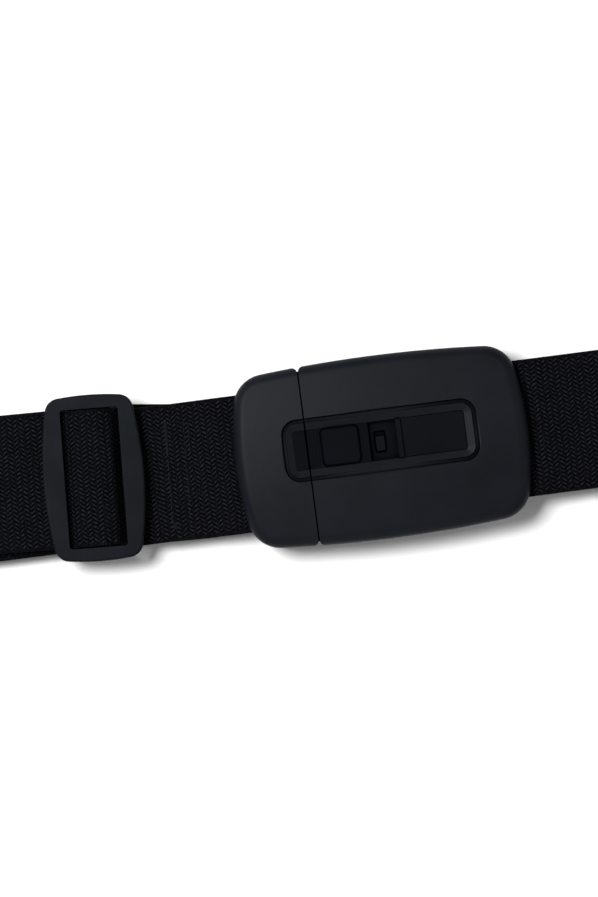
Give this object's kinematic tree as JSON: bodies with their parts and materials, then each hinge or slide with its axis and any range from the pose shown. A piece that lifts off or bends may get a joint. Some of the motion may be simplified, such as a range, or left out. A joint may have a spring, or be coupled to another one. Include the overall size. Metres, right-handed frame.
{
  "type": "luggage strap",
  "caption": "Folded luggage strap: wide herringbone webbing with a press-release buckle, a slide lock under a sliding cover, and a tri-glide length adjuster.",
  "frame": {"origin": "middle of the footprint of the folded strap, on the surface that it lies on", "axes": "+X along the strap towards the receiver half of the buckle, +Z out of the strap's face"},
  "size_m": [0.2761, 0.0668, 0.0237],
  "materials": {
    "webbing": "tight herringbone polyester webbing, nearly black, slightly fuzzy",
    "thread": "twisted polyester sewing thread, dark grey",
    "shell": "soft-touch moulded plastic, nearly black",
    "inlay": "smooth satin moulded plastic, black",
    "button": "satin moulded plastic, black",
    "cover": "smooth satin moulded plastic, black",
    "lock_tab": "satin moulded plastic, dark grey",
    "adjuster": "fine-textured moulded plastic, dark grey",
    "prong_plastic": "smooth acetal, black",
    "steel": "plated steel, fine brushed",
    "spring_steel": "bright drawn spring wire"
  },
  "bodies": {
    "receiver": {"receiver_rear_shell": "shell", "receiver_front_shell": "shell", "receiver_inlay": "inlay", "catch_plate": "steel", "button_springs": "spring_steel", "lock_detent_spring": "spring_steel", "receiver_strap_bar": "steel", "receiver_screws": "steel", "strap_front_layer": "webbing", "strap_back_layer": "webbing"},
    "release_button": {"release_button": "button"},
    "lock_slider": {"lock_slider": "lock_tab"},
    "lock_cover": {"lock_cover": "cover"},
    "tongue": {"tongue_rear_shell": "shell", "tongue_front_shell": "shell", "tongue_inlay": "inlay", "tongue_plate": "prong_plastic", "latch_arm": "prong_plastic", "tongue_strap_bar": "steel", "tongue_screws": "steel", "strap_tongue_end": "webbing", "strap_left_front": "webbing", "strap_left_back": "webbing", "tongue_stitching": "thread"},
    "adjuster": {"adjuster_frame": "adjuster", "strap_over_bar": "webbing", "strap_adjuster_end": "webbing", "adjuster_stitching": "thread"}
  },
  "joints": [
    {"name": "tongue_release", "type": "slide", "parent": "receiver", "child": "tongue", "axis": [-1, 0, 0], "range_m": [0, 0.034]},
    {"name": "adjuster_slide", "type": "slide", "parent": "tongue", "child": "adjuster", "axis": [-0.9986, 0.0523, 0], "range_m": [-0.004, 0.016], "deforming": ["strap_left_front", "strap_left_back", "strap_tongue_end"]},
    {"name": "button_press", "type": "slide", "parent": "receiver", "child": "release_button", "axis": [0, 0, -1], "range_m": [0, 0.0016], "stiffness_N_per_m": 700, "springref_m": -0.0012, "deforming": ["button_springs", "latch_arm"]},
    {"name": "lock_tab_slide", "type": "slide", "parent": "receiver", "child": "lock_slider", "axis": [0, 1, 0], "range_m": [0, 0.0018]},
    {"name": "lock_cover_slide", "type": "slide", "parent": "receiver", "child": "lock_cover", "axis": [-1, 0, 0], "range_m": [0, 0.0098]}
  ]
}
